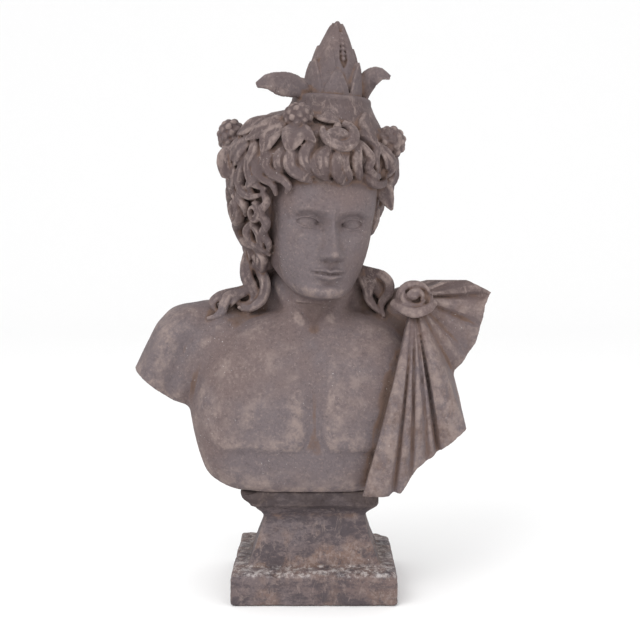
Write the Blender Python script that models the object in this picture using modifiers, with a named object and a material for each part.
# Bust of a wreathed young god on a square socle, in cast stone, at its real size.
# Metres, +Z up. The origin is the middle of the socle's underside and the figure faces -Y.
# The figure is free form: its points are in shares of its own height, 653 from its bed to the
# tip of the crown, so one share is a millimetre at the real size. Its bed lies at height 10.

import math

import bmesh
import bpy
import numpy as np
from mathutils import Matrix, Vector
from mathutils.bvhtree import BVHTree

# Socle, a square foot turned up from a slab to a waist and out to a cap
SLAB_WIDTH = 0.227
SLAB_DEPTH = 0.225
SLAB_HEIGHT = 0.045
SLAB_EDGE_RADIUS = 0.005
SHAFT_FOOT_WIDTH = 0.183
SHAFT_FOOT_DEPTH = 0.158
WAIST_WIDTH = 0.142
WAIST_DEPTH = 0.122
WAIST_HEIGHT = 0.068
CAP_WIDTH = 0.178
CAP_DEPTH = 0.162
CAP_FLARE_HEIGHT = 0.017
CAP_BAND_HEIGHT = 0.020
ARRIS_RADIUS = 0.004

# Figure
FIGURE_HEIGHT = 0.653
FIGURE_SHARES = 653
BED_LEVEL = 10
BED_CLEARANCE = 0.0003
SKIN_VOXEL = 2.2
FLESH_VOXEL = 4.5
FLESH_SMOOTHING = 22
HEAD_COLUMNS = 110
HEAD_ROWS = 100
PLAIN_TRIANGLES = 5150
FINE_TRIANGLES = 2700
BED_SNAP = 0.3

SOCLE_HEIGHT = SLAB_HEIGHT + WAIST_HEIGHT + CAP_FLARE_HEIGHT + CAP_BAND_HEIGHT
SHARE = FIGURE_HEIGHT / FIGURE_SHARES

# Pose of the head: where its upright axis stands at chin level, and how it turns and leans
HEAD_SEAT = Vector((4, -8, 280))
HEAD_TURN = math.radians(14)
HEAD_LEAN = math.radians(4.3)
HEAD_NOD = math.radians(4)
FACE_SHIFT = -9

# The right upper arm is cut from the armpit outwards and up
ARMPIT = (-184, 0, 117)
ARM_CUT_SLOPE = math.radians(38)
ARM_CUT_SIZE = 300

# Hair dome, in the head's own frame: height zero is the chin, the axis is upright
DOME_CENTRE = Vector((-18, 20, 196))
DOME_RADII = Vector((108, 116, 66))
DRUM_DEPTH = 150
DRUM_PINCH = 0.22

STONE_COLOUR = (0.215, 0.165, 0.160, 1.0)
STONE_ROUGHNESS = 0.85
COLLECTION = "Wreathed bust"
GUIDES = "Guides"


def clear_scene():
    for obj in list(bpy.data.objects):
        bpy.data.objects.remove(obj)


def stone_material(name):
    material = bpy.data.materials.new(name)
    material.use_nodes = True
    shader = material.node_tree.nodes["Principled BSDF"]
    shader.inputs["Base Color"].default_value = STONE_COLOUR
    shader.inputs["Roughness"].default_value = STONE_ROUGHNESS
    shader.inputs["Metallic"].default_value = 0.0
    return material


# Curves and small shaping functions


def bell(distance, width):
    """A smooth bump of height one, falling off over width."""
    return np.exp(-((distance / width) ** 2))


def ramp(value, low, high):
    """Zero below low, one above high, smooth between."""
    t = np.clip((value - low) / (high - low), 0.0, 1.0)
    return t * t * (3 - 2 * t)


def smooth_curve(keys, at):
    """Values of a smooth curve through (place, value, value ...) keys, one row for each place in at."""
    keys = np.array(keys, float)
    places, values = keys[:, 0], keys[:, 1:]
    slopes = np.gradient(values, places, axis=0)
    at = np.clip(np.asarray(at, float), places[0], places[-1])
    span = np.clip(np.searchsorted(places, at, side="right") - 1, 0, len(places) - 2)
    width = (places[span + 1] - places[span])[..., None]
    t = (at - places[span])[..., None] / width
    value = (
        (2 * t**3 - 3 * t**2 + 1) * values[span]
        + (t**3 - 2 * t**2 + t) * width * slopes[span]
        + (3 * t**2 - 2 * t**3) * values[span + 1]
        + (t**3 - t**2) * width * slopes[span + 1]
    )
    return value[..., 0] if values.shape[1] == 1 else value


def smooth_path(points, count):
    """count points along one smooth curve through the given points."""
    points = np.array([tuple(p) for p in points], float)
    lengths = np.linalg.norm(np.diff(points, axis=0), axis=1)
    places = np.concatenate([[0.0], np.cumsum(lengths)])
    keys = np.column_stack([places, points])
    return smooth_curve(keys, np.linspace(0, places[-1], count))


# Solids, each a closed mesh in shares


def loft(rings):
    """A closed body over a stack of rings, each an equal number of points going round."""
    rings = np.asarray(rings, float)
    count, around = rings.shape[:2]
    body = bmesh.new()
    verts = [[body.verts.new(point) for point in ring] for ring in rings]
    for lower, upper in zip(verts, verts[1:]):
        for i in range(around):
            j = (i + 1) % around
            body.faces.new((lower[i], lower[j], upper[j], upper[i]))
    for ring, turn in ((0, -1), (count - 1, 1)):
        middle = body.verts.new(rings[ring].mean(axis=0))
        for i in range(around):
            edge = (verts[ring][i], verts[ring][(i + 1) % around])
            body.faces.new((*edge[::turn], middle))
    return closed(body)


def closed(body):
    """The bmesh as a mesh with its faces pointing out."""
    bmesh.ops.recalc_face_normals(body, faces=body.faces)
    if body.calc_volume(signed=True) < 0:
        bmesh.ops.reverse_faces(body, faces=body.faces)
    mesh = bpy.data.meshes.new("solid")
    body.to_mesh(mesh)
    body.free()
    return mesh


def ellipsoid(centre, radii, turn=None, detail=(20, 12)):
    """An egg: a sphere stretched to three radii, turned, and set on its centre."""
    body = bmesh.new()
    bmesh.ops.create_uvsphere(body, u_segments=detail[0], v_segments=detail[1], radius=1)
    stretch = Matrix.Diagonal((*radii, 1))
    matrix = Matrix.Translation(centre) @ (turn or Matrix.Identity(4)) @ stretch
    bmesh.ops.transform(body, matrix=matrix, verts=body.verts)
    return closed(body)


def sweep(path, widths, heights, facing, sides=10, groove=0.0):
    """A band along a path. Its broad side faces along facing, a vector or one vector for each point,
    widths and heights are its half measures along the path, and groove hollows its outer side."""
    path = np.asarray(path, float)
    count = len(path)
    facing = np.broadcast_to(np.asarray(facing, float), path.shape)
    tangent = np.gradient(path, axis=0)
    tangent /= np.linalg.norm(tangent, axis=1, keepdims=True)
    out = facing - (facing * tangent).sum(1, keepdims=True) * tangent
    out /= np.linalg.norm(out, axis=1, keepdims=True)
    across = np.cross(tangent, out)
    place = np.linspace(0, 1, count)
    width = smooth_curve([(i / (len(widths) - 1), w) for i, w in enumerate(widths)], place)
    height = smooth_curve([(i / (len(heights) - 1), h) for i, h in enumerate(heights)], place)
    angle = np.arange(sides) * 2 * math.pi / sides
    side, lift = np.cos(angle), np.sin(angle)
    lift = np.where(lift > 0, lift * (1 - groove * bell(side, 0.4)), lift)
    rings = (
        path[:, None]
        + across[:, None] * (width[:, None] * side)[..., None]
        + out[:, None] * (height[:, None] * lift)[..., None]
    )
    return loft(rings)


# Torso

# Right and left half width, front and back of the chest at each height above the bed
CHEST_SECTIONS = (
    (6, 116, 90, 80, 64),
    (14, 134, 104, 88, 70),
    (26, 151, 122, 93, 76),
    (45, 160, 142, 96, 82),
    (75, 169, 158, 98, 87),
    (110, 176, 166, 99, 92),
    (150, 172, 168, 96, 96),
    (185, 160, 156, 89, 94),
    (215, 138, 134, 77, 84),
    (240, 108, 104, 60, 68),
    (256, 66, 64, 44, 46),
)


def chest():
    heights = np.concatenate([np.linspace(6, 26, 5), np.linspace(35, 256, 20)])
    angle = np.linspace(0, 2 * math.pi, 56, endpoint=False)
    side, along = np.sin(angle), -np.cos(angle)
    rings = []
    for height, (right, left, front, back) in zip(heights, smooth_curve(CHEST_SECTIONS, heights)):
        half_width = np.where(side < 0, right, left)
        depth = np.where(along < 0, front, back)
        power = np.where(along < 0, 3.4, 2.5)
        reach = (np.abs(side / half_width) ** power + np.abs(along / depth) ** power) ** (-1 / power)
        rings.append(np.column_stack([side * reach, along * reach, np.full(56, height)]))
    return loft(rings)


def shoulders():
    """The shoulder bar from side to side, the round of each upper arm and the slope to the neck."""
    bar = ((-186, 8, 216), (-120, 10, 230), (0, 10, 214), (110, 10, 226), (166, 8, 212))
    yield sweep(smooth_path(bar, 17), (48, 46, 42, 46, 46), (50, 42, 30, 40, 46), (0, 0, 1), 16)
    arm = ((-160, 6, 232), (-186, 5, 229), (-205, 4, 198), (-224, 4, 162), (-240, 4, 130))
    yield sweep(smooth_path(arm, 11), (34, 37, 36.5, 36, 36), (50, 55, 56, 53, 50), (0, -1, 0), 24)
    inner = ((-140, 4, 214), (-168, 4, 180), (-186, 4, 150), (-196, 4, 128))
    yield sweep(smooth_path(inner, 9), (36, 36, 30, 22), (60, 58, 52, 44), (0, -1, 0), 20)
    yield ellipsoid((164, 6, 194), (42, 54, 68))
    yield ellipsoid((-132, -18, 220), (36, 32, 34))
    for side in (-1, 1):
        slope = ((side * 158, 18, 238), (side * 92, 22, 252), (side * 36, 16, 292))
        yield sweep(smooth_path(slope, 9), (34, 38, 34), (26, 30, 34), (0, 0, 1), 14)


def neck():
    """The neck, and the strap muscle on each side that runs from behind the ear to the throat."""
    heights = np.linspace(205, 372, 12)
    centres = smooth_curve(((205, 0, 14), (270, 1, 6), (330, 6, 2), (372, 9, 0)), heights)
    radii = smooth_curve(((205, 74, 64), (240, 63, 60), (275, 57, 58), (330, 56, 60), (372, 56, 62)), heights)
    angle = np.linspace(0, 2 * math.pi, 28, endpoint=False)
    yield loft(
        [
            np.column_stack([x + a * np.sin(angle), y - b * np.cos(angle), np.full(28, height)])
            for height, (x, y), (a, b) in zip(heights, centres, radii)
        ]
    )
    for side in (-1, 1):
        strap = ((side * 55, 16, 336), (side * 47, -24, 288), (side * 15, -60, 240))
        yield sweep(smooth_path(strap, 9), (13, 12, 8), (9, 9, 8), (side, -1, 0), 10)


def merged(meshes):
    """One mesh that holds all of these, still as separate shells."""
    body = bmesh.new()
    for mesh in meshes:
        body.from_mesh(mesh)
        bpy.data.meshes.remove(mesh)
    whole = bpy.data.meshes.new("merged")
    body.to_mesh(whole)
    body.free()
    return whole


def skinned(mesh, voxel, smoothing):
    """One skin over every shell of a mesh, by a voxel remesh, then relaxed."""
    obj = bpy.data.objects.new("skin", mesh)
    bpy.context.scene.collection.objects.link(obj)
    remesh = obj.modifiers.new("Fuse", "REMESH")
    remesh.mode = "VOXEL"
    remesh.voxel_size = voxel
    if smoothing:
        relax = obj.modifiers.new("Relax", "SMOOTH")
        relax.factor = 0.5
        relax.iterations = smoothing
    graph = bpy.context.evaluated_depsgraph_get()
    made = bpy.data.meshes.new_from_object(obj.evaluated_get(graph))
    bpy.data.objects.remove(obj)
    bpy.data.meshes.remove(mesh)
    return made


def points_of(mesh):
    points = np.empty(len(mesh.vertices) * 3, np.float32)
    mesh.vertices.foreach_get("co", points)
    return points.reshape(-1, 3).astype(float)


def set_points(mesh, points):
    mesh.vertices.foreach_set("co", points.astype(np.float32).ravel())
    mesh.update()


def line_distance(x, z, start, end):
    """Distance in the front plane from each point to a straight line, and how far along it lies."""
    dx, dz = end[0] - start[0], end[1] - start[1]
    along = np.clip(((x - start[0]) * dx + (z - start[1]) * dz) / (dx * dx + dz * dz), 0, 1)
    return np.hypot(x - start[0] - along * dx, z - start[1] - along * dz), along


# Outer edge of the breast muscles: height and distance from the middle
CHEST_EDGE = ((20, 128), (60, 130), (72, 134), (84, 146), (99, 154), (130, 161), (174, 168), (260, 190))


def carve_chest(mesh):
    """Breast muscles, breastbone, collarbones and throat pit, raised and sunk on the front."""
    points = points_of(mesh)
    x, y, z = points.T
    front = ramp(-y, 10, 60)
    lift = np.zeros(len(points))
    outer_edge = smooth_curve(CHEST_EDGE, z)
    for side in (-1, 1):
        out = side * x
        lower_edge = 69 + 26 * bell(out, 12) - 2 * bell(out - 60, 30)
        plate = ramp(z, lower_edge - 5, lower_edge + 7) * ramp(outer_edge + 5 - out, 0, 11)
        lift += 7.0 * plate * ramp(z, 250, 100) * ramp(out, 0, 28)
        lift += 2.0 * bell(line_distance(x, z, (side * 14, 244), (side * 150, 262))[0], 10)
        lift -= 2.0 * bell(line_distance(x, z, (side * 34, 268), (side * 110, 276))[0], 13)
        lift -= 2.5 * bell(line_distance(x, z, (side * 172, 122), (side * 160, 200))[0], 8)
    lift -= 2.0 * bell(x, 9) * ramp(z, 66, 90) * ramp(z, 200, 130)
    lift -= 5.0 * bell(np.hypot(x, z - 246), 15)
    points[:, 1] -= lift * front
    set_points(mesh, points)


def box(centre, size, turn):
    """A closed box, turned about its centre."""
    body = bmesh.new()
    bmesh.ops.create_cube(body, size=1)
    matrix = Matrix.Translation(centre) @ turn @ Matrix.Diagonal((*size, 1))
    bmesh.ops.transform(body, matrix=matrix, verts=body.verts)
    return closed(body)


def cut_away(mesh, name, cutter_mesh):
    """The mesh less a cutter, which stays in the file among the guides."""
    obj = bpy.data.objects.new("uncut", mesh)
    bpy.context.scene.collection.objects.link(obj)
    cutter = bpy.data.objects.new(name, cutter_mesh)
    cutter.hide_render = True
    cutter.display_type = "WIRE"
    bpy.data.collections[GUIDES].objects.link(cutter)
    cut = obj.modifiers.new("Cut", "BOOLEAN")
    cut.operation = "DIFFERENCE"
    cut.solver = "EXACT"
    cut.object = cutter
    graph = bpy.context.evaluated_depsgraph_get()
    made = bpy.data.meshes.new_from_object(obj.evaluated_get(graph))
    bpy.data.objects.remove(obj)
    bpy.data.meshes.remove(mesh)
    return made


def flesh():
    """Torso and neck as one relaxed skin, with the right upper arm cut off aslant."""
    mesh = skinned(merged([chest(), *shoulders(), *neck()]), FLESH_VOXEL, FLESH_SMOOTHING)
    carve_chest(mesh)
    turn = Matrix.Rotation(ARM_CUT_SLOPE, 4, "Y")
    half = ARM_CUT_SIZE / 2
    centre = Vector(ARMPIT) + turn @ Vector((-half, 0, -half))
    return cut_away(mesh, "right arm cut", box(centre, (ARM_CUT_SIZE,) * 3, turn))


def skin_tree(mesh):
    """A search tree over a mesh, to drop points onto it."""
    body = bmesh.new()
    body.from_mesh(mesh)
    tree = BVHTree.FromBMesh(body)
    body.free()
    return tree


# Head and face, in the head's own frame

# Front, half width and back of the skull at each height above the chin
SKULL_SECTIONS = (
    (-2, 84, 27, 40),
    (4, 93, 38, 44),
    (12, 97, 48, 50),
    (24, 93, 57, 58),
    (38, 94, 63, 68),
    (55, 95, 68, 78),
    (75, 92, 72, 88),
    (92, 90, 74, 95),
    (108, 91, 75, 99),
    (120, 94, 76, 102),
    (140, 95, 77, 103),
    (165, 90, 75, 100),
    (190, 76, 66, 86),
    (210, 54, 48, 62),
    (222, 30, 28, 34),
    (227, 8, 8, 9),
)
NOSE_KEYS = (
    (50, 0, 13),
    (54, 3, 13),
    (57.5, 15, 13.5),
    (62, 24, 13),
    (67, 25.5, 11.5),
    (75, 21, 10),
    (85, 15.5, 9),
    (95, 11, 8.5),
    (105, 7, 8.5),
    (115, 3.5, 10),
    (124, 0, 14),
)
EYE_APART = 31
EYE_LEVEL = 103.5
EYE_HALF_WIDTH = 15.5
EYE_BALL = 13.5
LID_THICKNESS = 3.0
EYE_DEPTH = 83.5
MOUTH_LEVEL = 38.5
MOUTH_HALF_WIDTH = 24.5


def jaw_height(turn):
    """Height of the jaw's lower edge, level under the chin and rising towards the ear."""
    return -1 + 42 * ramp(np.abs(turn), 0.35, 1.75)


def skull_reach(turn, z):
    """Distance from the head's axis to the skull and cheeks, by angle from the front and height."""
    sections = smooth_curve(SKULL_SECTIONS, z)
    front, half_width, back = sections[..., 0], sections[..., 1], sections[..., 2]
    depth = np.where(np.cos(turn) > 0, front, back)
    power = 2.15 + 0.35 * ramp(z, 30, 100)
    side, along = np.abs(np.sin(turn)) / half_width, np.abs(np.cos(turn)) / depth
    reach = (side**power + along**power) ** (-1 / power)
    under = 46 + 0 * z
    return under + (reach - under) * ramp(z, jaw_height(turn) - 7, jaw_height(turn) + 7)


def eye_relief(x, z, depth, side):
    """Eyeball and lids on one side: the new depth of the face there."""
    dx, dz = x - side * EYE_APART, z - EYE_LEVEL - 0.05 * (side * x - EYE_APART)
    inner = -side * dx
    almond = np.clip(1 - (dx / EYE_HALF_WIDTH) ** 2, 0, 1)
    upper, lower = 6.8 * almond**0.6, -4.8 * almond**0.75
    socket = depth - 10.5 * bell(dx + side * 2, 20) * bell(dz, 11)
    socket -= 5.5 * bell(inner - 17, 6) * bell(dz, 9)
    front = EYE_DEPTH - 0.14 * side * dx
    spread = dx**2 * 0.8 + dz**2
    lid_radius = EYE_BALL + LID_THICKNESS
    lid = front - lid_radius + np.sqrt(np.clip(lid_radius**2 - spread, 0, None))
    face = np.where(spread < lid_radius**2, np.maximum(socket, lid), socket)
    face = face - 2.2 * bell(dz - upper - 5.0, 1.5) * ramp(almond, 0, 0.3)
    face = face + 1.3 * (bell(dz - upper, 1.5) + 0.8 * bell(dz - lower, 1.4)) * ramp(almond, 0, 0.15)
    ball = front - lid_radius + np.sqrt(np.clip(EYE_BALL**2 - spread, 0, None))
    open_eye = ramp(upper - dz, -0.3, 0.7) * ramp(dz - lower, -0.3, 0.7) * (almond > 0)
    return face + (np.minimum(ball, face) - face) * open_eye


def face_relief(x, z, depth):
    """The depth of the face at each place across and up it, with its features on."""
    out = np.abs(x)
    brow_level = 117 + 3.5 * bell(out - 34, 17)
    depth = depth + 3.6 * bell(z - brow_level, 4.8) * ramp(out, 4, 16) * ramp(out, 62, 42)
    depth += 1.5 * bell(x, 12) * bell(z - 121, 8)
    depth += 2.5 * bell(out - 46, 15) * bell(z - 84, 13)
    depth += 3.0 * bell(x, 30) * bell(z - 42, 17)
    for side in (-1, 1):
        near = side * x > 2
        depth = np.where(near, eye_relief(x, z, depth, side), depth)
    keys = smooth_curve(NOSE_KEYS, z)
    nose = keys[..., 0] * np.exp(-((out / keys[..., 1]) ** 2.4)) * ramp(z, 50, 52)
    nose += 8.5 * bell(out - 13, 5.2) * bell(z - 63, 6.2)
    nose += 2.0 * bell(x, 7) * bell(z - 66, 6)
    nose -= 6.0 * bell(out - 7, 3.2) * bell(z - 56, 2.6)
    depth += np.where((z > 48) & (z < 126), nose, 0)
    line = MOUTH_LEVEL - 0.9 * bell(x, 5) + 0.2 * (x / MOUTH_HALF_WIDTH) ** 2
    spread = np.clip(1 - (x / MOUTH_HALF_WIDTH) ** 2, 0, 1)
    upper_height = (8.6 - 1.6 * bell(x, 3.2)) * spread**0.55 + 0.01
    lower_height = 10.5 * spread**0.5 + 0.01
    upper = np.clip((z - line) / upper_height, 0, 1)
    lower = np.clip((line - z) / lower_height, 0, 1)
    depth += 5.2 * np.sin(math.pi * upper) ** 0.8 * spread**0.6
    depth += 6.4 * np.sin(math.pi * lower) ** 0.9 * np.clip(1 - (x / 22) ** 2, 0, 1) ** 0.7
    depth -= 4.4 * bell(z - line, 1.4) * ramp(MOUTH_HALF_WIDTH + 1 - out, 0, 4)
    depth -= 1.8 * bell(out - MOUTH_HALF_WIDTH, 4) * bell(z - MOUTH_LEVEL, 4)
    depth -= 3.8 * bell(x, 17) * bell(z - 24.5, 4.5)
    depth += 3.0 * bell(x, 15) * bell(z - 12, 9)
    depth -= 1.3 * bell(x, 2.8) * bell(z - 51, 4)
    return depth


def head():
    """Skull and face as one loft of level rings, closer together across the face."""
    heights = np.linspace(-9, 227, HEAD_ROWS)
    even = np.linspace(-1, 1, HEAD_COLUMNS, endpoint=False)
    turns = math.pi * (0.55 * even + 0.45 * even**3)
    turn, z = np.meshgrid(turns, heights)
    reach = skull_reach(turn, z)
    x, depth = reach * np.sin(turn), reach * np.cos(turn)
    facing = ramp(np.cos(turn), 0.15, 0.45) * ramp(z, 0, 6)
    depth = depth + (face_relief(x, z, depth) - depth) * facing
    return loft(np.stack([x + FACE_SHIFT, -depth, z], axis=-1))


# Hair and wreath, in the head's own frame


def hair_share(z):
    """How far out the hair's carrier reaches at a height: a flat dome on a slowly narrowing drum."""
    rise = (np.asarray(z, float) - DOME_CENTRE.z)
    dome = np.sqrt(np.clip(1 - (rise / DOME_RADII.z) ** 2, 0, 1))
    return np.where(rise > 0, dome, 1 - DRUM_PINCH * (rise / DRUM_DEPTH) ** 2)


def hair_point(turn_degrees, z, lift=0.0):
    """A point on the hair's carrier by its turn from the front, its height and its lift off it."""
    turn = math.radians(turn_degrees)
    share = float(hair_share(z))
    x = DOME_CENTRE.x + (DOME_RADII.x * share + lift) * math.sin(turn)
    y = DOME_CENTRE.y - (DOME_RADII.y * share + lift) * math.cos(turn)
    return Vector((x, y, z))


def outward(path):
    """For each point of a path, the direction away from the middle of the head."""
    away = np.asarray(path, float) - np.array((DOME_CENTRE.x, DOME_CENTRE.y, 150))
    away[:, 2] *= 0.8
    return away / np.linalg.norm(away, axis=1, keepdims=True)


# Height of the hair's lower edge by turn from the front, on the right side and on the left
HAIRLINE_RIGHT = ((0, 160), (40, 158), (49, 136), (53, 96), (60, 58), (84, 22), (120, 4), (180, 2))
HAIRLINE_LEFT = ((0, 160), (40, 158), (58, 146), (68, 104), (82, 66), (120, 12), (180, 6))


def hair_mass():
    """The solid of the hair under its locks: the carrier, sunk a little, down to the hairline."""
    degrees = np.linspace(-180, 180, 144, endpoint=False)
    low = np.where(
        degrees < 0,
        smooth_curve(HAIRLINE_RIGHT, -degrees),
        smooth_curve(HAIRLINE_LEFT, degrees),
    )
    rings = []
    for step in np.linspace(0, 1, 22):
        z = low + (DOME_CENTRE.z + DOME_RADII.z * 0.985 - low) * step
        lift = -4 - 5 * ramp(z, 150, 40) - 12 * ramp(step, 0.1, 0)
        lift = lift + 1.5 * np.abs(np.sin(np.radians(degrees * 9) + z * 0.03)) * ramp(z, 195, 215)
        rings.append([hair_point(d, height, gap) for d, height, gap in zip(degrees, z, lift)])
    return loft(rings)


def lock(places, width, height, sides=16, count=18, groove=0.3):
    """A lock of hair through (turn, height, lift) places, full in its middle and blunt at its tip."""
    path = smooth_path([hair_point(*place) for place in places], count)
    widths = (width * 0.6, width, width, width * 0.85, width * 0.35)
    heights = (height * 0.8, height, height, height * 0.85, height * 0.5)
    return sweep(path, widths, heights, outward(path), sides, groove)


# Front locks, from the wreath to the tip, each as (turn, height) places and half width
FRONT_LOCKS = (
    (((-48, 196), (-53, 180), (-53, 167), (-48, 158), (-41, 151), (-40, 137)), 6.5),
    (((-38, 200), (-43, 186), (-44, 174), (-40, 164), (-33, 159), (-29, 151), (-31, 142)), 7.5),
    (((-31, 200), (-36, 188), (-36, 176), (-31, 168)), 7.0),
    (((-24, 202), (-28, 188), (-27, 175), (-21, 166), (-13, 159)), 9.5),
    (((-12, 212), (-18, 199), (-19, 186), (-16, 175), (-11, 166)), 8.5),
    (((-6, 204), (-12, 189), (-12, 175), (-6, 166), (1, 161)), 5.0),
    (((-2, 204), (-7, 188), (-6, 176), (-1, 166)), 9.0),
    (((7, 204), (2, 190), (2, 176), (6, 166), (13, 156)), 8.0),
    (((13, 205), (8, 190), (9, 178), (13, 168), (13, 156)), 6.5),
    (((19, 214), (17, 198), (17, 184), (20, 173), (26, 165)), 8.0),
    (((20, 226), (31, 219), (35, 208), (33, 196), (37, 182), (43, 172)), 6.5),
    (((20, 216), (25, 204), (29, 192), (27, 182), (31, 174), (40, 171), (49, 176)), 6.5),
    (((25, 178), (31, 164), (41, 160), (52, 166), (58, 178)), 5.5),
    (((38, 212), (47, 197), (56, 184), (54, 169)), 11.0),
    (((54, 210), (63, 195), (68, 180), (63, 164), (70, 150)), 10.5),
    (((70, 200), (76, 184), (72, 168), (78, 150)), 10.5),
)


def front_hair():
    """The fringe over a bed of plain locks, and the rolled curl over its middle."""
    for turn in range(-66, 96, 8):
        yield lock(((turn, 222, -6), (turn - 4, 196, -2), (turn - 3, 174, -3), (turn + 4, 160, -9)), 8.5, 7, 8, 9, 0)
    for places, width in FRONT_LOCKS:
        last = len(places) - 1
        path = [(turn, z, (-3, 4, 6, 6, 3, -5)[round(5 * i / last)]) for i, (turn, z) in enumerate(places)]
        yield lock(path, width, width + 2.5)
    roll = ((-10, 230), (-8, 220), (-4, 211), (2, 205), (9, 206), (14, 213), (17, 223), (17, 233), (12, 240))
    path = smooth_path([hair_point(turn, z, 9) for turn, z in roll], 26)
    yield sweep(path, (3, 7, 8, 8.5, 8, 5), (6, 8, 9, 9, 8, 5), outward(path), 16, 0.25)
    yield ellipsoid(hair_point(3, 223, 6), (15, 8, 8))
    yield ellipsoid(hair_point(4, 230, 7), (6, 7, 9))
    path = smooth_path(((36, -57, 253), (30, -64, 243), (30, -71, 233), (37, -74, 224), (47, -74, 216)), 14)
    yield sweep(path, (5, 8, 9, 8, 4), (7, 9, 10, 9, 6), outward(path), 16, 0.2)


def ring_curl(turn, z, size, spin=1, lift=2.0):
    """A curl that winds once and a half round a hollow."""
    steps = np.linspace(0, 1.5 * math.tau, 26)
    shrink = np.linspace(1.0, 0.34, 26)
    places = []
    for step, share in zip(steps, shrink):
        across = size * share * math.sin(step) * spin
        rise = size * 1.2 * share * math.cos(step)
        places.append(hair_point(turn + math.degrees(across / 105), z + rise, lift + 3 * (1 - share)))
    path = smooth_path(places, 26)
    half = size * 0.33
    return sweep(path, (half * 0.9, half, half * 0.9, half * 0.7), (7, 8, 7, 6), outward(path), 8)


# Ring curls beside the face on the right: turn, height, size and the way they wind
RING_CURLS = ((-84, 110, 17, 1), (-56, 111, 11, 1), (-84, 53, 9, -1))
# Locks beside the face on the right: (turn, height) places and half width
SIDE_LOCKS = (
    (((-60, 214), (-56, 192), (-60, 171), (-57, 153), (-47, 143)), 9.0),
    (((-68, 208), (-64, 184), (-71, 162), (-73, 145), (-62, 132), (-49, 136)), 7.0),
    (((-50, 198), (-47, 174), (-53, 157), (-61, 145), (-58, 134)), 7.5),
    (((-78, 202), (-83, 178), (-78, 157), (-84, 142), (-78, 128)), 8.5),
    (((-92, 172), (-98, 154), (-90, 140), (-96, 128)), 8.0),
    (((-66, 144), (-74, 130), (-68, 118), (-72, 104)), 6.5),
    (((-80, 98), (-95, 86), (-97, 74), (-85, 64), (-74, 58)), 9.0),
    (((-62, 98), (-71, 82), (-70, 69), (-58, 62), (-52, 54)), 7.5),
    (((-64, 94), (-55, 82), (-57, 68), (-66, 58)), 6.5),
    (((-50, 140), (-45, 126), (-51, 112), (-46, 98), (-51, 84), (-48, 70), (-55, 56)), 6.0),
    (((-70, 62), (-62, 50), (-69, 36), (-78, 24)), 8.0),
    (((-92, 70), (-99, 52), (-89, 37), (-96, 20)), 9.0),
    (((-104, 158), (-96, 138), (-106, 120), (-97, 100), (-107, 80)), 9.5),
    (((-82, 56), (-74, 42), (-84, 28), (-80, 10)), 8.0),
)


def side_lift(z):
    """How far the side hair stands off its carrier: less towards its lower end."""
    return 5 - 15 * float(ramp(np.array(float(z)), 110.0, 30.0))


def side_hair():
    """Curls below the wreath: rings and tumbling locks beside the face, staggered rows behind."""
    for turn, z, size, spin in RING_CURLS:
        yield ring_curl(turn, z, size, spin, side_lift(z))
    for places, width in SIDE_LOCKS:
        lifts = [side_lift(z) - 5 * (i in (0, len(places) - 1)) for i, (turn, z) in enumerate(places)]
        yield lock([(*place, lift) for place, lift in zip(places, lifts)], width, width + 1.5, count=26)
    for side, first in ((-1, 108), (1, 76)):
        for column, turn in enumerate(range(first, 182, 13)):
            shallow = side > 0 and turn < 124
            low = 18
            for row, top in enumerate(range(192 - 12 * (column % 2), low, -31)):
                swing = 7 if (row + column) % 2 else -7
                lift = -4 - 4 * max(0, row - 1) - (5 if shallow else 0)
                places = (
                    (side * (turn - swing * 0.4), top, lift - 3),
                    (side * (turn + swing), top - 11, lift + 5),
                    (side * (turn + swing * 0.9), top - 25, lift + 6),
                    (side * (turn - swing * 0.3), top - 37, lift + 3),
                    (side * (turn - swing), top - 36, lift - 3),
                )
                yield lock(places, 10.5, 11, 12, 11)


def leaf(places, width, thickness=3.6):
    """A pointed leaf along (turn, height, lift) places, with a sunk midrib."""
    path = smooth_path([hair_point(*place) for place in places], 17)
    widths = (width * 0.5, width * 0.95, width, width * 0.75, width * 0.12)
    heights = (thickness, thickness, thickness, thickness, 2)
    return sweep(path, widths, heights, outward(path), 24, groove=0.75)


# Leaves of the wreath, root and tip each as (turn, height, lift), and half width
WREATH_LEAVES = (
    ((-34, 244, 4), (-63, 207, 13), 15),
    ((-40, 234, 4), (-48, 187, 10), 15),
    ((-25, 234, 6), (-29, 192, 12), 17),
    ((-26, 230, 6), (-12, 210, 10), 10),
    ((-76, 212, 4), (-81, 172, 13), 12),
    ((-64, 212, 4), (-76, 170, 12), 14),
    ((-54, 240, 3), (-80, 214, 10), 14),
    ((-98, 204, 4), (-104, 160, 10), 18),
    ((-106, 216, 6), (-114, 164, 13), 18),
    ((-17, 252, 1), (9, 238, 7), 12),
    ((36, 250, 0), (33, 214, 5), 9),
    ((46, 248, -1), (52, 222, 6), 11),
    ((40, 216, 4), (48, 182, 9), 11),
    ((60, 214, 4), (66, 170, 11), 15),
    ((78, 212, 5), (84, 160, 11), 17),
    ((64, 180, 2), (73, 134, 8), 16),
    ((96, 214, 5), (102, 168, 12), 17),
)
# Leaves that stand out sideways and face the front: points, half widths
FRONT_LEAVES = (
    (((-126, 6, 198), (-136, 2, 178), (-142, 4, 153)), (8, 18, 20, 15, 5)),
    (((-115, -16, 208), (-123, -22, 190), (-129, -16, 172)), (6, 12, 13, 10, 3)),
    (((68, -36, 168), (77, -42, 147), (89, -38, 126)), (7, 12, 12, 8, 2)),
)
BERRY_CLUSTERS = ((-28, 241, 8, 21, 20), (-97, 212, 10, 20, 25), (58, 219, 10, 22, 23))


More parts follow.
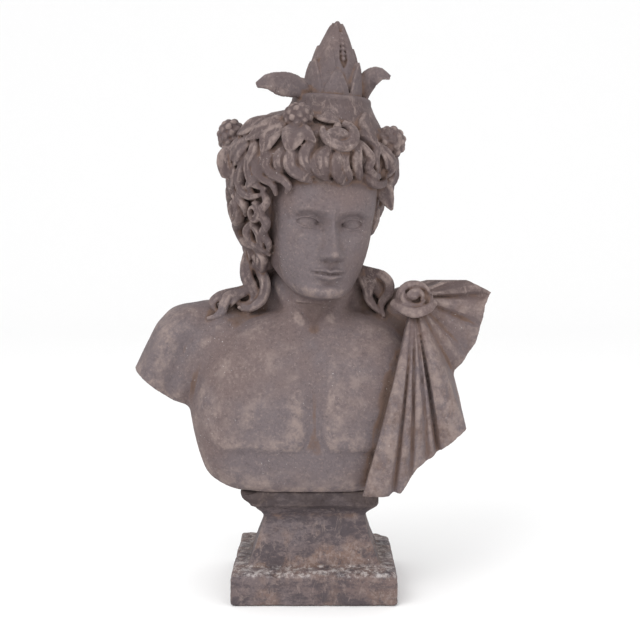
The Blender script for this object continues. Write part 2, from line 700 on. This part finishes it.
def wreath_leaves():
    for root, tip, width in WREATH_LEAVES:
        middle = [(a + b) / 2 + bulge for a, b, bulge in zip(root, tip, (0, 0, 5))]
        yield leaf((root, middle, tip), width)
    for places, widths in FRONT_LEAVES:
        yield sweep(smooth_path(places, 15), widths, (5, 5, 4.5, 4, 2.5), (-0.2, -1.0, 0.1), 24, 0.5)
    for i, turn in enumerate(range(112, 250, 11)):
        high = 14 * (i % 2)
        root, tip = (turn, 218 + high, 4 + i % 2), (turn + 9, 168 + high, 11 + i % 2)
        yield leaf((root, (turn + 3, 196 + high, 11), tip), 15)


def berry_cluster(turn, z, lift, radius, height, berries=22):
    """A cluster of berries set round an egg, by equal steps of the golden angle."""
    centre = hair_point(turn, z, lift)
    yield ellipsoid(centre, (radius * 0.8, radius * 0.8, height * 0.8), detail=(10, 8))
    golden = math.pi * (3 - math.sqrt(5))
    for i in range(berries):
        level = 1 - 2 * (i + 0.5) / berries
        ring = math.sqrt(1 - level * level)
        offset = Vector((
            radius * 0.76 * ring * math.cos(golden * i),
            radius * 0.76 * ring * math.sin(golden * i),
            height * 0.76 * level,
        ))
        yield ellipsoid(centre + offset, (radius * 0.32,) * 3, detail=(8, 6))


# Crown: a rimmed cap with a scaled bud and arching leaves, on the head's axis
CAP_SECTIONS = ((214, 80), (228, 77), (242, 70), (256, 61), (267, 54), (272, 54.5), (275.5, 53), (277, 50))
BUD_SECTIONS = (
    (262, 36.5), (290, 35.5), (310, 33.5), (326, 30.5), (336, 27), (350, 21.5), (364, 15.5), (375, 9), (380, 3),
)
# Rows of scales: foot, tip, half width, stand off the bud, how many, and the turn of the first
BRACT_ROWS = ((266, 318, 17, 4.5, 6, 8), (270, 338, 18, 1.5, 6, -22), (284, 374, 19, -1.5, 5, -24))
# Crown leaves in the head's frame: points, half widths and facing
CROWN_LEAVES = (
    (((-36, -16, 268), (-49, -22, 280), (-64, -26, 285), (-81, -30, 285), (-98, -32, 286), (-113, -30, 280)),
     (9, 13, 17, 17, 12, 4), (-0.1, -1.0, 0.15)),
    (((42, 6, 264), (44, -6, 291), (50, -12, 306), (63, -12, 313), (79, -10, 309)),
     (9, 12, 14, 12, 4), (0.2, -0.85, 0.45)),
    (((-18, 44, 262), (-22, 56, 286), (-28, 72, 298), (-34, 88, 296), (-38, 98, 286)),
     (11, 15, 17, 14, 4), (-0.1, 0.7, 0.7)),
)


def ring_points(centre, radius, z, count):
    angle = np.linspace(0, 2 * math.pi, count, endpoint=False)
    return np.column_stack([
        centre[0] + radius * np.sin(angle),
        centre[1] - radius * np.cos(angle),
        np.full(count, z),
    ])


def crown():
    heights = np.concatenate([np.linspace(214, 262, 7), np.linspace(266, 277, 7)])
    yield loft([ring_points((0, 0), r, z, 40) for r, z in zip(smooth_curve(CAP_SECTIONS, heights), heights)])
    heights = np.linspace(262, 380, 16)
    radii = smooth_curve(BUD_SECTIONS, heights)
    yield loft([ring_points((0, 0), r - 3, z, 24) for r, z in zip(radii, heights)])
    for low, high, half_width, lean, count, first in BRACT_ROWS:
        for i in range(count):
            yield bract(math.radians(first) + math.tau * i / count, low, high, half_width, lean)
    for places, widths, facing in CROWN_LEAVES:
        path = smooth_path(places, 13)
        yield sweep(path, widths, (5, 4.5, 4, 3.5, 2), facing, 12, 0.5)


def bract(turn, low, high, half_width, lean):
    """A pointed scale that lies round the bud, from its foot to its tip."""
    steps = np.linspace(0, 1, 11)
    heights = low + (high - low) * steps
    radii = smooth_curve(BUD_SECTIONS, heights)
    spread = half_width * np.clip(1 - steps**1.8, 0, 1) ** 0.7 + 0.8
    rings = []
    for z, radius, half, step in zip(heights, radii, spread, steps):
        angle = np.linspace(-1, 1, 9)
        around = turn + np.clip(angle * half / radius, -1.2, 1.2)
        proud = radius + 4.5 - 3.0 * angle**4 - 1.2 * bell(angle, 0.2) + lean - 1.5 * step**4
        outer = np.column_stack([proud * np.sin(around), -proud * np.cos(around), np.full(9, z)])
        inner = np.column_stack([
            (radius - 5) * 0.9 * np.sin(around[::-1]),
            -(radius - 5) * 0.9 * np.cos(around[::-1]),
            np.full(9, z),
        ])
        rings.append(np.concatenate([outer, inner]))
    return loft(rings)


# Long curls over the shoulders, in figure space: (x, height) places, half width, how far behind
RIGHT_CURLS = (
    (((-88, 350), (-93, 333), (-96, 318), (-95, 304), (-89, 291), (-84, 280), (-85, 270), (-94, 264), (-105, 266),
      (-112, 274)), 9.5, 8),
    (((-78, 346), (-78, 326), (-74, 310), (-69, 297), (-69, 286), (-74, 272), (-84, 263), (-96, 258), (-107, 262)),
     8.0, 0),
    (((-88, 296), (-98, 284), (-109, 279), (-120, 277), (-127, 266), (-130, 255), (-139, 249), (-151, 246)), 7.5, 0),
    (((-90, 290), (-107, 283), (-122, 280), (-135, 276), (-143, 268), (-140, 259), (-134, 254)), 7.5, 6),
    (((-103, 280), (-114, 272), (-119, 262)), 6.0, 2),
    (((-86, 318), (-84, 300), (-88, 284), (-98, 270), (-116, 270)), 11, 20),
)
LEFT_CURLS = (
    (((52, 330), (71, 321), (90, 315), (104, 307), (112, 295), (108, 283), (98, 274), (94, 266), (98, 250)), 8.5, 12),
    (((56, 322), (76, 310), (90, 302), (93, 292), (84, 282), (80, 273), (88, 263), (97, 256)), 8.5, 8),
    (((60, 316), (74, 305), (82, 296), (79, 284)), 7.5, 8),
    (((50, 326), (66, 308), (80, 298), (92, 290), (98, 280)), 12, 18),
    (((60, 322), (80, 308), (96, 298), (100, 284)), 12, 24),
)


def shoulder_curls(skin):
    """Locks that fall on the shoulders: each place is dropped from the front onto the skin."""
    for curls in (RIGHT_CURLS, LEFT_CURLS):
        for places, width, behind in curls:
            path = []
            for i, (x, z) in enumerate(places):
                depth = front_depth(skin, x, z, -30 + behind)
                hang = -26 + behind
                blend = float(ramp(np.array(i / (len(places) - 1)), 0.12, 0.5))
                path.append((x, hang + (depth - 4 - hang) * blend, z))
            path = smooth_path(path, 34)
            sizes = (width * 0.8, width, width, width * 0.8, width * 0.3)
            yield sweep(path, sizes, sizes, (0.0, -0.85, 0.5), 16, 0.3)


def front_depth(skin, x, z, missing):
    """Where a line from the front at (x, z) meets the skin."""
    hit = skin.ray_cast(Vector((x, -400, z)), Vector((0, 1, 0)), 380)
    return hit[0].y if hit[0] else missing


# Drapery over the left shoulder, in figure space
KNOT = Vector((136, -66, 277))

# Hem of the cloth's front, in order from the right to the left and over the shoulder
HEM = (
    (65, -103, 9), (94, -103, 5), (108, -100, 14), (117, -98, 12), (129, -96, 28), (140, -94, 46),
    (159, -90, 58), (186, -82, 78), (209, -72, 96), (202, -62, 136), (194, -52, 172), (208, -44, 186),
    (225, -38, 210), (236, -32, 238), (241, -26, 264), (252, -20, 282), (216, -22, 300), (180, -34, 298),
    (160, -48, 291), (146, -56, 288),
)
# Relief of the cloth by the fan's angle in degrees: straight down is zero, the left side is ninety
FOLD_RELIEF = (
    (-16, -4), (-15, 6), (-13, 11), (-10, 11.5), (-7.5, 9), (-6.2, 0), (-5.2, 6), (-3.6, 8.5), (-2.2, 5),
    (-1.2, -1), (0, 5), (1.6, 8), (3.4, 5), (4.8, -1), (6, 3.5), (7.4, 3), (9, -7), (10.6, 4), (14, 10),
    (18, 10.5), (22, 8), (25, 2), (28, -6), (31, -2), (36, 3), (40, 4), (45, -3), (50, 1), (57, 5), (63, 1),
    (67, -5), (72, 2), (79, 6), (86, 2), (90, -6), (95, 2), (101, 5), (107, -3), (113, 2), (125, 0), (140, -4),
)


def drapery(skin):
    """The cloth: its bulk over the shoulder and down the back, the fan of folds, and the knot."""
    yield cape()
    yield fan(skin)
    yield from knot()


# Bulk of the cloth round the left arm: height, right and left edge, front and back
CAPE_SECTIONS = (
    (34, 60, 118, -56, 62),
    (46, 60, 134, -58, 70),
    (58, 60, 150, -60, 76),
    (78, 60, 177, -60, 82),
    (96, 60, 196, -58, 86),
    (136, 60, 190, -54, 90),
    (170, 66, 184, -48, 90),
    (188, 72, 198, -44, 88),
    (210, 80, 215, -40, 84),
    (238, 84, 228, -34, 76),
    (264, 90, 233, -28, 62),
    (282, 104, 241, -24, 46),
    (294, 140, 224, -20, 26),
    (299, 160, 206, -10, 12),
)


def cape():
    heights = np.linspace(34, 299, 30)
    angle = np.linspace(0, 2 * math.pi, 64, endpoint=False)
    side, along = np.sin(angle), -np.cos(angle)
    rings = []
    for height, (right, left, front, back) in zip(heights, smooth_curve(CAPE_SECTIONS, heights)):
        half_width, half_depth = (left - right) / 2, (back - front) / 2
        reach = (np.abs(side / half_width) ** 3.2 + np.abs(along / half_depth) ** 3.2) ** (-1 / 3.2)
        behind = ramp(along, -0.75, 0.1) * ramp(299 - height, 0, 60)
        reach = reach + 4.5 * np.sin(angle * 12 + height * 0.02) * behind
        rings.append(np.column_stack([
            (right + left) / 2 + side * reach,
            (front + back) / 2 + along * reach,
            np.full(64, height),
        ]))
    return loft(rings)


def fan(skin):
    """The front of the cloth: straight folds that spread from the knot to the HEM."""
    edges = np.array(HEM, float)
    bearing = np.degrees(np.arctan2(edges[:, 0] - KNOT.x, KNOT.z - edges[:, 2]))
    angles = np.concatenate([np.linspace(-15.2, 26, 84), np.linspace(26.8, bearing[-1], 72)])
    order = np.argsort(bearing)
    rings = []
    for angle in angles:
        edge = np.array([np.interp(angle, bearing[order], edges[order, k]) for k in range(3)])
        relief = float(np.interp(angle, *np.array(FOLD_RELIEF).T))
        bulge = 26 * float(ramp(np.array(angle), 60.0, 10.0))
        front, back = [], []
        for step in np.linspace(0.02, 1, 15):
            x = KNOT.x + (edge[0] - KNOT.x) * step
            z = KNOT.z + (edge[2] - KNOT.z) * step
            y = KNOT.y + (edge[1] - KNOT.y) * step - bulge * math.sin(math.pi * step)
            y = min(y, front_depth(skin, x, z, 0) - 2)
            grown = 0.35 + 0.65 * min(1.0, step * 2.2)
            front.append((x, y - relief * grown, z))
            back.append((KNOT.x + (x - KNOT.x) * 0.9, y + 26, KNOT.z + (z - KNOT.z) * 0.96))
        rings.append(front + back[::-1])
    return loft(rings)


# Petals of the knot: start and end angle in degrees, radius at both, height off the button, half width
KNOT_PETALS = (
    (150, -40, 9, 10, 21, 4.0),
    (-20, -215, 14, 15, 18, 4.5),
    (200, 10, 18, 20, 13, 5.5),
    (20, -160, 21, 23, 9, 6.0),
)


def knot():
    """A wrapped knot like a rose: a flat button, petals that wind round its bud, and a band below."""
    yield ellipsoid(KNOT + Vector((0, -4, 1)), (25, 14, 19))
    yield ellipsoid(KNOT + Vector((-2, -20, 4)), (9, 7, 7))
    for start, end, near, far, height, half in KNOT_PETALS:
        turns = np.radians(np.linspace(start, end, 16))
        radius = np.linspace(near, far, 16)
        path = np.column_stack([
            KNOT.x + radius * 1.08 * np.cos(turns),
            KNOT.y - height + 0 * turns,
            KNOT.z + 2 + radius * 0.84 * np.sin(turns),
        ])
        yield sweep(path, (half * 0.4, half, half, half * 0.4), (3, 6, 6, 3), (0, -1, 0), 12)
    band = ((108, -70, 270), (120, -86, 262), (136, -94, 257), (151, -87, 261), (164, -70, 270))
    yield sweep(smooth_path(band, 14), (6, 7, 7.5, 7, 6), (6, 7, 7, 7, 6), (0, -1, 0), 12, 0.2)


# Whole figure


def head_matrix():
    """From the head's own frame into figure space."""
    turn = Matrix.Rotation(HEAD_TURN, 4, "Z")
    lean = Matrix.Rotation(HEAD_LEAN, 4, "Y")
    nod = Matrix.Rotation(HEAD_NOD, 4, "X")
    return Matrix.Translation(HEAD_SEAT) @ lean @ nod @ turn


def hair():
    yield hair_mass()
    yield from front_hair()
    yield from side_hair()


def outer_shell(mesh):
    """Keep the largest of a mesh's shells: a skin also closes round pockets inside it."""
    body = bmesh.new()
    body.from_mesh(mesh)
    unseen = set(body.verts)
    shells = []
    while unseen:
        shell, edge = set(), {unseen.pop()}
        while edge:
            shell |= edge
            edge = {e.other_vert(v) for v in edge for e in v.link_edges} - shell
        unseen -= shell
        shells.append(shell)
    largest = max(shells, key=len)
    bmesh.ops.delete(body, geom=[v for v in body.verts if v not in largest], context="VERTS")
    body.to_mesh(mesh)
    body.free()
    return mesh


def fine_zone(points):
    """Where the carving is closest: the face, and the crown above its rim."""
    x, y, z = points.T
    face = (np.abs(z - 376) < 74) & (y < -46) & (x > -68)
    return face | (z > 540)


def thinned(mesh, zone, triangles):
    """The mesh with about this many triangles where the zone, one value for each point, is true."""
    mesh.calc_loop_triangles()
    corners = np.empty(len(mesh.loop_triangles) * 3, np.int32)
    mesh.loop_triangles.foreach_get("vertices", corners)
    inside = int(zone[corners.reshape(-1, 3)].all(axis=1).sum())
    whole = len(mesh.loop_triangles)
    obj = bpy.data.objects.new("thin", mesh)
    bpy.context.scene.collection.objects.link(obj)
    group = obj.vertex_groups.new(name="zone")
    group.add([int(i) for i in np.flatnonzero(zone)], 1.0, "REPLACE")
    thin = obj.modifiers.new("Fewer faces", "DECIMATE")
    thin.ratio = (whole - inside + triangles) / whole
    thin.use_collapse_triangulate = True
    thin.vertex_group = group.name
    graph = bpy.context.evaluated_depsgraph_get()
    made = bpy.data.meshes.new_from_object(obj.evaluated_get(graph))
    bpy.data.objects.remove(obj)
    bpy.data.meshes.remove(mesh)
    return made


def flat_bed(mesh):
    points = points_of(mesh)
    points[np.abs(points[:, 2] - BED_LEVEL) < BED_SNAP, 2] = BED_LEVEL
    set_points(mesh, points)
    return mesh


def figure(material):
    """The whole bust as one cast body, standing on the socle's cap."""
    top = merged([
        head(),
        *hair(),
        *wreath_leaves(),
        *(solid for cluster in BERRY_CLUSTERS for solid in berry_cluster(*cluster)),
        *crown(),
    ])
    top.transform(head_matrix())
    body = flesh()
    skin = skin_tree(body)
    mesh = skinned(merged([body, top, *shoulder_curls(skin), *drapery(skin)]), SKIN_VOXEL, 0)
    under = box((0, 0, BED_LEVEL - 50), (600, 400, 100), Matrix.Identity(4))
    mesh = cut_away(mesh, "bed cut", under)
    mesh = outer_shell(mesh)
    mesh = thinned(mesh, ~fine_zone(points_of(mesh)), PLAIN_TRIANGLES)
    mesh = flat_bed(thinned(mesh, fine_zone(points_of(mesh)), FINE_TRIANGLES))
    bed = SOCLE_HEIGHT + BED_CLEARANCE
    mesh.transform(Matrix.Translation((0, 0, bed - BED_LEVEL * SHARE)) @ Matrix.Scale(SHARE, 4))
    mesh.shade_smooth()
    obj = bpy.data.objects.new("bust", mesh)
    obj.data.materials.append(material)
    return obj


# Socle


def square_ring(half_width, half_depth, z, corner):
    """A level square ring with rounded corners."""
    ring = []
    for sx, sy, start in ((1, 1, 0), (-1, 1, 90), (-1, -1, 180), (1, -1, 270)):
        for step in range(3):
            angle = math.radians(start + 45 * step)
            ring.append((
                sx * (half_width - corner) + corner * math.cos(angle),
                sy * (half_depth - corner) + corner * math.sin(angle),
                z,
            ))
    return ring


def socle_rings():
    """Rings up the socle: the slab, the hollow shaft and the cap, as (half width, half depth, height)."""
    edge = SLAB_EDGE_RADIUS
    waist_level = SLAB_HEIGHT + WAIST_HEIGHT
    cap_level = waist_level + CAP_FLARE_HEIGHT
    half = (SLAB_WIDTH / 2, SLAB_DEPTH / 2)
    yield half[0] - edge / 2, half[1] - edge / 2, 0
    yield half[0], half[1], edge / 2
    yield half[0], half[1], SLAB_HEIGHT - edge
    yield half[0] - edge * 0.3, half[1] - edge * 0.3, SLAB_HEIGHT - edge * 0.3
    yield half[0] - edge, half[1] - edge, SLAB_HEIGHT
    for step in range(7):
        t = step / 6
        flare = (1 - t) ** 1.4
        yield (
            (WAIST_WIDTH + (SHAFT_FOOT_WIDTH - WAIST_WIDTH) * flare) / 2,
            (WAIST_DEPTH + (SHAFT_FOOT_DEPTH - WAIST_DEPTH) * flare) / 2,
            SLAB_HEIGHT + WAIST_HEIGHT * t,
        )
    for step in (1, 2, 3, 4):
        t = step / 4
        flare = 0.55 * t + 0.45 * t * t
        yield (
            (WAIST_WIDTH + (CAP_WIDTH - WAIST_WIDTH) * flare) / 2,
            (WAIST_DEPTH + (CAP_DEPTH - WAIST_DEPTH) * flare) / 2,
            waist_level + CAP_FLARE_HEIGHT * t,
        )
    yield CAP_WIDTH / 2, CAP_DEPTH / 2, cap_level + CAP_BAND_HEIGHT - edge / 2
    yield CAP_WIDTH / 2 - edge / 2, CAP_DEPTH / 2 - edge / 2, cap_level + CAP_BAND_HEIGHT


def socle(material):
    rings = [square_ring(w, d, z, ARRIS_RADIUS) for w, d, z in socle_rings()]
    obj = bpy.data.objects.new("socle", loft(rings))
    obj.data.materials.append(material)
    return obj


def main():
    clear_scene()
    for name in (COLLECTION, GUIDES):
        bpy.context.scene.collection.children.link(bpy.data.collections.new(name))
    bpy.data.collections[GUIDES].hide_render = True
    for build in (socle, figure):
        obj = build(stone_material("cast stone " + build.__name__))
        bpy.data.collections[COLLECTION].objects.link(obj)


main()
